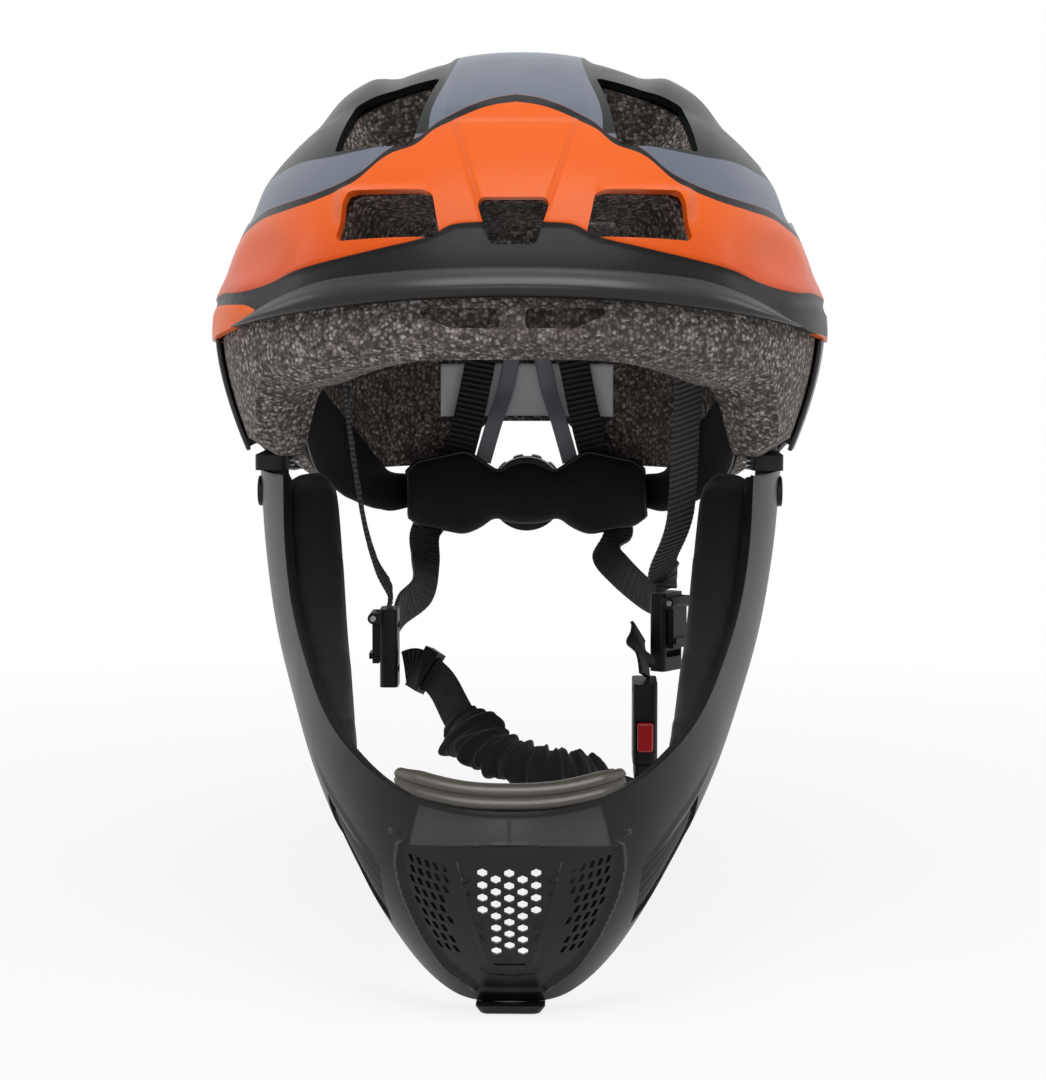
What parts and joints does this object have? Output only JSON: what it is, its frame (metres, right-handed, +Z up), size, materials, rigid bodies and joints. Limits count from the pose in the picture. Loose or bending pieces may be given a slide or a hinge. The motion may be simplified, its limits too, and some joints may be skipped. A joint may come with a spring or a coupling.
{
  "type": "full-face bicycle helmet",
  "caption": "Full-face bicycle helmet with a vented shell over a foam liner, a detachable chin guard on two arms, a dial-fit rear cradle and a buckled chin strap.",
  "frame": {"origin": "midway between the wearer's ears, on the helmet's plane of symmetry", "axes": "+X to the wearer's left, +Y to the back of the head, +Z up"},
  "size_m": [0.2016, 0.2921, 0.2861],
  "materials": {
    "shell_paint": "painted shell, orange with slate grey and dark green-black areas, satin clear coat",
    "lip_plastic": "satin black moulded plastic",
    "lower_plastic": "dark grey thin formed plastic",
    "foam": "speckled charcoal bead foam",
    "pad_fabric": "black knitted fabric over soft foam",
    "label_paper": "blank pale label, matt",
    "black_plastic": "matt black moulded plastic",
    "hanger_plastic": "grey flexible plastic",
    "webbing": "ribbed black polyester webbing",
    "chin_plastic": "satin black moulded plastic, fine grain",
    "trim_rubber": "soft grey-brown bumper, satin",
    "steel": "plain steel",
    "pinion_plastic": "white acetal",
    "red_plastic": "red moulded plastic"
  },
  "bodies": {
    "helmet": {"outer_shell": "shell_paint", "brow_lip": "lip_plastic", "lower_shell": "lower_plastic", "foam_liner": "foam", "brow_pad": "pad_fabric", "crown_pads": "pad_fabric", "side_pads": "pad_fabric", "care_label": "label_paper", "socket_left": "black_plastic", "socket_right": "black_plastic", "belt_left": "black_plastic", "belt_right": "black_plastic", "belt_rivets": "black_plastic", "strap_plugs": "black_plastic", "strap_front_left": "webbing", "strap_front_right": "webbing", "strap_rear_left": "webbing", "strap_rear_right": "webbing", "divider_left": "black_plastic", "divider_right": "black_plastic", "divider_pins": "steel", "hanger_pegs": "black_plastic", "hanger_left": "hanger_plastic", "hanger_right": "hanger_plastic"},
    "cradle": {"cradle_yoke": "black_plastic", "cradle_pad": "pad_fabric", "dial_housing": "black_plastic"},
    "dial": {"dial_knob": "black_plastic", "dial_pinion": "pinion_plastic"},
    "rack_l": {"rack_left": "black_plastic"},
    "rack_r": {"rack_right": "black_plastic"},
    "chin_guard": {"chin_frame": "chin_plastic", "chin_trim": "trim_rubber", "chin_grille": "chin_plastic", "louvre_left": "black_plastic", "louvre_right": "black_plastic", "cheek_pad_left": "pad_fabric", "cheek_pad_right": "pad_fabric", "chin_foot": "chin_plastic", "clip_left": "black_plastic", "clip_right": "black_plastic", "clip_screws": "steel"},
    "button_l": {"button_left": "black_plastic"},
    "button_r": {"button_right": "black_plastic"},
    "lever_l": {"lever_left": "black_plastic"},
    "lever_r": {"lever_right": "black_plastic"},
    "chin_strap": {"strap_chin": "webbing", "chin_sleeve": "pad_fabric", "strap_keeper": "black_plastic", "buckle_stub": "webbing", "buckle_body": "black_plastic"},
    "release": {"buckle_button": "red_plastic"},
    "tongue": {"buckle_tongue": "black_plastic"}
  },
  "joints": [
    {"name": "cradle_slide", "type": "slide", "parent": "helmet", "child": "cradle", "axis": [0, -1, 0], "range_m": [0, 0.015], "deforming": ["belt_left", "belt_right", "hanger_left", "hanger_right", "strap_rear_left", "strap_rear_right"]},
    {"name": "dial_turn", "type": "hinge", "parent": "cradle", "child": "dial", "pos_m": [0, 0.108, -0.0425], "axis": [0, -1, 0], "range_deg": [0, 270]},
    {"name": "rack_left_slide", "type": "slide", "parent": "cradle", "child": "rack_l", "axis": [-1, 0, 0], "range_m": [0, 0.01885]},
    {"name": "rack_right_slide", "type": "slide", "parent": "cradle", "child": "rack_r", "axis": [1, 0, 0], "range_m": [0, 0.01885]},
    {"name": "chin_guard_lift_off", "type": "slide", "parent": "helmet", "child": "chin_guard", "axis": [0, 0, -1], "range_m": [0, 0.06]},
    {"name": "button_left_push", "type": "slide", "parent": "chin_guard", "child": "button_l", "axis": [-1, 0, 0], "range_m": [0, 0.002], "stiffness_N_per_m": 900},
    {"name": "button_right_push", "type": "slide", "parent": "chin_guard", "child": "button_r", "axis": [1, 0, 0], "range_m": [0, 0.002], "stiffness_N_per_m": 900},
    {"name": "lever_left_turn", "type": "hinge", "parent": "helmet", "child": "lever_l", "pos_m": [0.05272, -0.01495, -0.0705], "axis": [-0.5736, -0.8192, 0], "range_deg": [0, 70]},
    {"name": "lever_right_turn", "type": "hinge", "parent": "helmet", "child": "lever_r", "pos_m": [-0.04865, -0.012, -0.076], "axis": [0, 1, 0], "range_deg": [0, 70]},
    {"name": "chin_strap_swing", "type": "hinge", "parent": "helmet", "child": "chin_strap", "pos_m": [0, -0.012, -0.093], "axis": [1, 0, 0], "range_deg": [-20, 20]},
    {"name": "release_push", "type": "slide", "parent": "chin_strap", "child": "release", "axis": [0, 1, 0], "range_m": [0, 0.002], "stiffness_N_per_m": 500},
    {"name": "tongue_pull", "type": "slide", "parent": "chin_strap", "child": "tongue", "axis": [0, 0, -1], "range_m": [0, 0.022], "deforming": ["strap_chin"]}
  ],
  "couplings": [
    {"joint": "dial_turn", "follows": "cradle_slide", "rad_per_m": 314.15},
    {"joint": "rack_left_slide", "follows": "cradle_slide", "ratio": 1.2566},
    {"joint": "rack_right_slide", "follows": "cradle_slide", "ratio": 1.2566}
  ]
}
